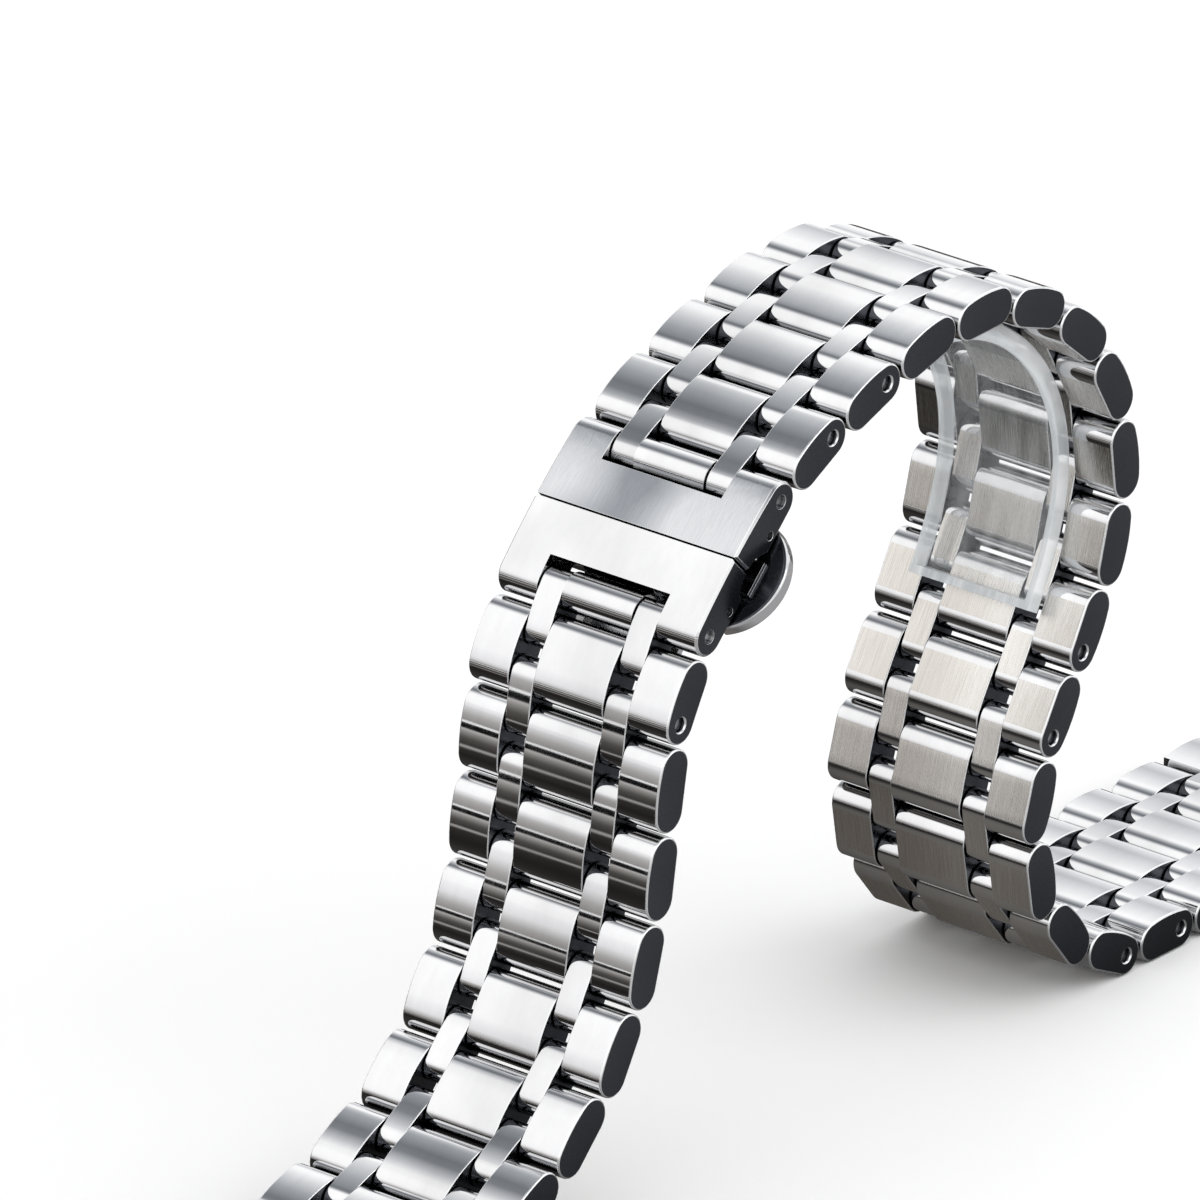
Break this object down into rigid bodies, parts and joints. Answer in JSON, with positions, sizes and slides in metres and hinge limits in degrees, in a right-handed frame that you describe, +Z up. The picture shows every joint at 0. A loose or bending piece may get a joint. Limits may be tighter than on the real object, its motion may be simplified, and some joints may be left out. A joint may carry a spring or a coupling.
{
  "type": "five link watch bracelet",
  "caption": "Steel watch bracelet of crowned links in lanes with a butterfly clasp and push buttons, standing as an arch.",
  "frame": {"origin": "on the floor, at the middle of the bounding box's underside", "axes": "+X along the arch from the left foot to the right foot, +Y across the band, +Z up"},
  "size_m": [0.1288, 0.0222, 0.0593],
  "materials": {
    "polished_steel": "polished",
    "satin_steel": "satin",
    "pin_steel": "satin",
    "spring_steel": "drawn wire",
    "clear_plastic": "clear"
  },
  "bodies": {
    "clasp_base": {"middle_blade": "satin_steel", "button_housing": "satin_steel", "button_spring": "spring_steel", "blade_pin_a": "pin_steel", "blade_pin_b": "pin_steel"},
    "wing_a": {"wing_a": "satin_steel"},
    "cover_a": {"cover_a": "polished_steel", "cover_pin_a": "pin_steel", "arm_pin_a": "pin_steel", "barrel_a": "polished_steel"},
    "wing_b": {"wing_b": "satin_steel"},
    "cover_b": {"cover_b": "polished_steel", "cover_pin_b": "pin_steel", "arm_pin_b": "pin_steel", "barrel_b": "polished_steel"},
    "button_near": {"button_near": "polished_steel"},
    "button_far": {"button_far": "polished_steel"},
    "link_a01": {"link_a01": "polished_steel", "removable_pin_a01": "pin_steel"},
    "link_a02": {"link_a02": "polished_steel"},
    "link_a03": {"link_a03": "polished_steel"},
    "link_a04": {"link_a04": "polished_steel"},
    "link_a05": {"link_a05": "polished_steel"},
    "link_a06": {"link_a06": "polished_steel"},
    "link_a07": {"link_a07": "polished_steel"},
    "link_a08": {"link_a08": "polished_steel"},
    "link_a09": {"link_a09": "polished_steel"},
    "link_a10": {"link_a10": "polished_steel"},
    "end_link_a": {"end_link_a": "polished_steel"},
    "link_b01": {"link_b01": "polished_steel", "removable_pin_b01": "pin_steel"},
    "link_b02": {"link_b02": "polished_steel", "removable_pin_b02": "pin_steel"},
    "link_b03": {"link_b03": "polished_steel"},
    "link_b04": {"link_b04": "polished_steel"},
    "link_b05": {"link_b05": "polished_steel"},
    "link_b06": {"link_b06": "polished_steel"},
    "link_b07": {"link_b07": "polished_steel"},
    "link_b08": {"link_b08": "polished_steel"},
    "link_b09": {"link_b09": "polished_steel"},
    "link_b10": {"link_b10": "polished_steel", "removable_pin_b10": "pin_steel"},
    "link_b11": {"link_b11": "polished_steel", "removable_pin_b11": "pin_steel"},
    "link_b12": {"link_b12": "polished_steel"},
    "link_b13": {"link_b13": "polished_steel"},
    "link_b14": {"link_b14": "polished_steel"},
    "link_b15": {"link_b15": "polished_steel", "removable_pin_b15": "pin_steel"},
    "link_b16": {"link_b16": "polished_steel", "removable_pin_b16": "pin_steel"},
    "link_b17": {"link_b17": "polished_steel"},
    "link_b18": {"link_b18": "polished_steel"},
    "link_b19": {"link_b19": "polished_steel"},
    "end_link_b": {"end_link_b": "polished_steel"},
    "cuff": {"cuff": "clear_plastic"}
  },
  "joints": [
    {"name": "wing_a_fold", "type": "hinge", "parent": "clasp_base", "child": "wing_a", "pos_m": [-0.01727, 0, 0.03936], "axis": [0, -1, 0], "range_deg": [0, 130]},
    {"name": "cover_a_swing", "type": "hinge", "parent": "wing_a", "child": "cover_a", "pos_m": [-0.01604, 0, 0.04392], "axis": [0, -1, 0], "range_deg": [-130, 0]},
    {"name": "wing_b_fold", "type": "hinge", "parent": "clasp_base", "child": "wing_b", "pos_m": [-0.00709, 0, 0.04954], "axis": [0, 1, 0], "range_deg": [0, 130]},
    {"name": "cover_b_swing", "type": "hinge", "parent": "wing_b", "child": "cover_b", "pos_m": [-0.01165, 0, 0.0483], "axis": [0, 1, 0], "range_deg": [-130, 0]},
    {"name": "button_near_press", "type": "slide", "parent": "clasp_base", "child": "button_near", "axis": [0, 1, 0], "range_m": [0, 0.0009], "stiffness_N_per_m": 600, "springref_m": -0.0012, "deforming": ["button_spring"]},
    {"name": "button_far_press", "type": "slide", "parent": "clasp_base", "child": "button_far", "axis": [0, -1, 0], "range_m": [0, 0.0009], "stiffness_N_per_m": 600, "springref_m": -0.0012, "deforming": ["button_spring"]},
    {"name": "link_a01_hinge", "type": "hinge", "parent": "cover_a", "child": "link_a01", "pos_m": [-0.01826, 0, 0.04275], "axis": [0, -1, 0], "range_deg": [-51.98, 3.02]},
    {"name": "link_a02_hinge", "type": "hinge", "parent": "link_a01", "child": "link_a02", "pos_m": [-0.02132, 0, 0.03701], "axis": [0, 1, 0], "range_deg": [-21, 54]},
    {"name": "link_a03_hinge", "type": "hinge", "parent": "link_a02", "child": "link_a03", "pos_m": [-0.02234, 0, 0.03059], "axis": [0, -1, 0], "range_deg": [-36, 39]},
    {"name": "link_a04_hinge", "type": "hinge", "parent": "link_a03", "child": "link_a04", "pos_m": [-0.02324, 0, 0.02416], "axis": [0, 1, 0], "range_deg": [-47, 28]},
    {"name": "link_a05_hinge", "type": "hinge", "parent": "link_a04", "child": "link_a05", "pos_m": [-0.02493, 0, 0.01788], "axis": [0, -1, 0], "range_deg": [-21, 54]},
    {"name": "link_a06_hinge", "type": "hinge", "parent": "link_a05", "child": "link_a06", "pos_m": [-0.02808, 0, 0.0122], "axis": [0, 1, 0], "range_deg": [-55, 20]},
    {"name": "link_a07_hinge", "type": "hinge", "parent": "link_a06", "child": "link_a07", "pos_m": [-0.0326, 0, 0.00752], "axis": [0, -1, 0], "range_deg": [-19, 56]},
    {"name": "link_a08_hinge", "type": "hinge", "parent": "link_a07", "child": "link_a08", "pos_m": [-0.03823, 0, 0.00428], "axis": [0, 1, 0], "range_deg": [-51, 24]},
    {"name": "link_a09_hinge", "type": "hinge", "parent": "link_a08", "child": "link_a09", "pos_m": [-0.04438, 0, 0.00216], "axis": [0, -1, 0], "range_deg": [-22, 53]},
    {"name": "link_a10_hinge", "type": "hinge", "parent": "link_a09", "child": "link_a10", "pos_m": [-0.05084, 0, 0.00148], "axis": [0, 1, 0], "range_deg": [-45.98, 29.02]},
    {"name": "end_link_a_hinge", "type": "hinge", "parent": "link_a10", "child": "end_link_a", "pos_m": [-0.05734, 0, 0.00148], "axis": [0, -1, 0], "range_deg": [-35, 40]},
    {"name": "link_b01_hinge", "type": "hinge", "parent": "cover_b", "child": "link_b01", "pos_m": [-0.01048, 0, 0.05053], "axis": [0, 1, 0], "range_deg": [-52, 3]},
    {"name": "link_b02_hinge", "type": "hinge", "parent": "link_b01", "child": "link_b02", "pos_m": [-0.00475, 0, 0.05358], "axis": [0, -1, 0], "range_deg": [-32, 43]},
    {"name": "link_b03_hinge", "type": "hinge", "parent": "link_b02", "child": "link_b03", "pos_m": [0.00136, 0, 0.0558], "axis": [0, 1, 0], "range_deg": [-40, 35]},
    {"name": "link_b04_hinge", "type": "hinge", "parent": "link_b03", "child": "link_b04", "pos_m": [0.00764, 0, 0.05749], "axis": [0, -1, 0], "range_deg": [-27, 48]},
    {"name": "link_b05_hinge", "type": "hinge", "parent": "link_b04", "child": "link_b05", "pos_m": [0.01414, 0, 0.05771], "axis": [0, 1, 0], "range_deg": [-56, 19]},
    {"name": "link_b06_hinge", "type": "hinge", "parent": "link_b05", "child": "link_b06", "pos_m": [0.02028, 0, 0.0556], "axis": [0, -1, 0], "range_deg": [-20, 55]},
    {"name": "link_b07_hinge", "type": "hinge", "parent": "link_b06", "child": "link_b07", "pos_m": [0.02533, 0, 0.05151], "axis": [0, 1, 0], "range_deg": [-55, 20]},
    {"name": "link_b08_hinge", "type": "hinge", "parent": "link_b07", "child": "link_b08", "pos_m": [0.02868, 0, 0.04594], "axis": [0, -1, 0], "range_deg": [-18, 57]},
    {"name": "link_b09_hinge", "type": "hinge", "parent": "link_b08", "child": "link_b09", "pos_m": [0.0297, 0, 0.03952], "axis": [0, 1, 0], "range_deg": [-58, 17]},
    {"name": "link_b10_hinge", "type": "hinge", "parent": "link_b09", "child": "link_b10", "pos_m": [0.02813, 0, 0.03321], "axis": [0, -1, 0], "range_deg": [-26, 49]},
    {"name": "link_b11_hinge", "type": "hinge", "parent": "link_b10", "child": "link_b11", "pos_m": [0.02507, 0, 0.02747], "axis": [0, 1, 0], "range_deg": [-37, 38]},
    {"name": "link_b12_hinge", "type": "hinge", "parent": "link_b11", "child": "link_b12", "pos_m": [0.02182, 0, 0.02184], "axis": [0, -1, 0], "range_deg": [-54, 21]},
    {"name": "link_b13_hinge", "type": "hinge", "parent": "link_b12", "child": "link_b13", "pos_m": [0.02003, 0, 0.01559], "axis": [0, 1, 0], "range_deg": [-8, 67]},
    {"name": "link_b14_hinge", "type": "hinge", "parent": "link_b13", "child": "link_b14", "pos_m": [0.02127, 0, 0.00921], "axis": [0, -1, 0], "range_deg": [-69, 6]},
    {"name": "link_b15_hinge", "type": "hinge", "parent": "link_b14", "child": "link_b15", "pos_m": [0.02545, 0, 0.00423], "axis": [0, 1, 0], "range_deg": [-10, 65]},
    {"name": "link_b16_hinge", "type": "hinge", "parent": "link_b15", "child": "link_b16", "pos_m": [0.03134, 0, 0.00148], "axis": [0, -1, 0], "range_deg": [-65, 10]},
    {"name": "link_b17_hinge", "type": "hinge", "parent": "link_b16", "child": "link_b17", "pos_m": [0.03784, 0, 0.00148], "axis": [0, 1, 0], "range_deg": [-35, 40]},
    {"name": "link_b18_hinge", "type": "hinge", "parent": "link_b17", "child": "link_b18", "pos_m": [0.04434, 0, 0.00148], "axis": [0, -1, 0], "range_deg": [-40, 35]},
    {"name": "link_b19_hinge", "type": "hinge", "parent": "link_b18", "child": "link_b19", "pos_m": [0.05084, 0, 0.00148], "axis": [0, 1, 0], "range_deg": [-35, 40]},
    {"name": "end_link_b_hinge", "type": "hinge", "parent": "link_b19", "child": "end_link_b", "pos_m": [0.05734, 0, 0.00148], "axis": [0, -1, 0], "range_deg": [-40, 35]},
    {"name": "cuff_slide", "type": "slide", "parent": "link_b06", "child": "cuff", "axis": [0, -1, 0], "range_m": [0, 0.02], "deforming": ["cuff"]}
  ],
  "couplings": [
    {"joint": "wing_a_fold", "follows": "cover_a_swing", "ratio": -1},
    {"joint": "wing_b_fold", "follows": "cover_b_swing", "ratio": -1}
  ]
}
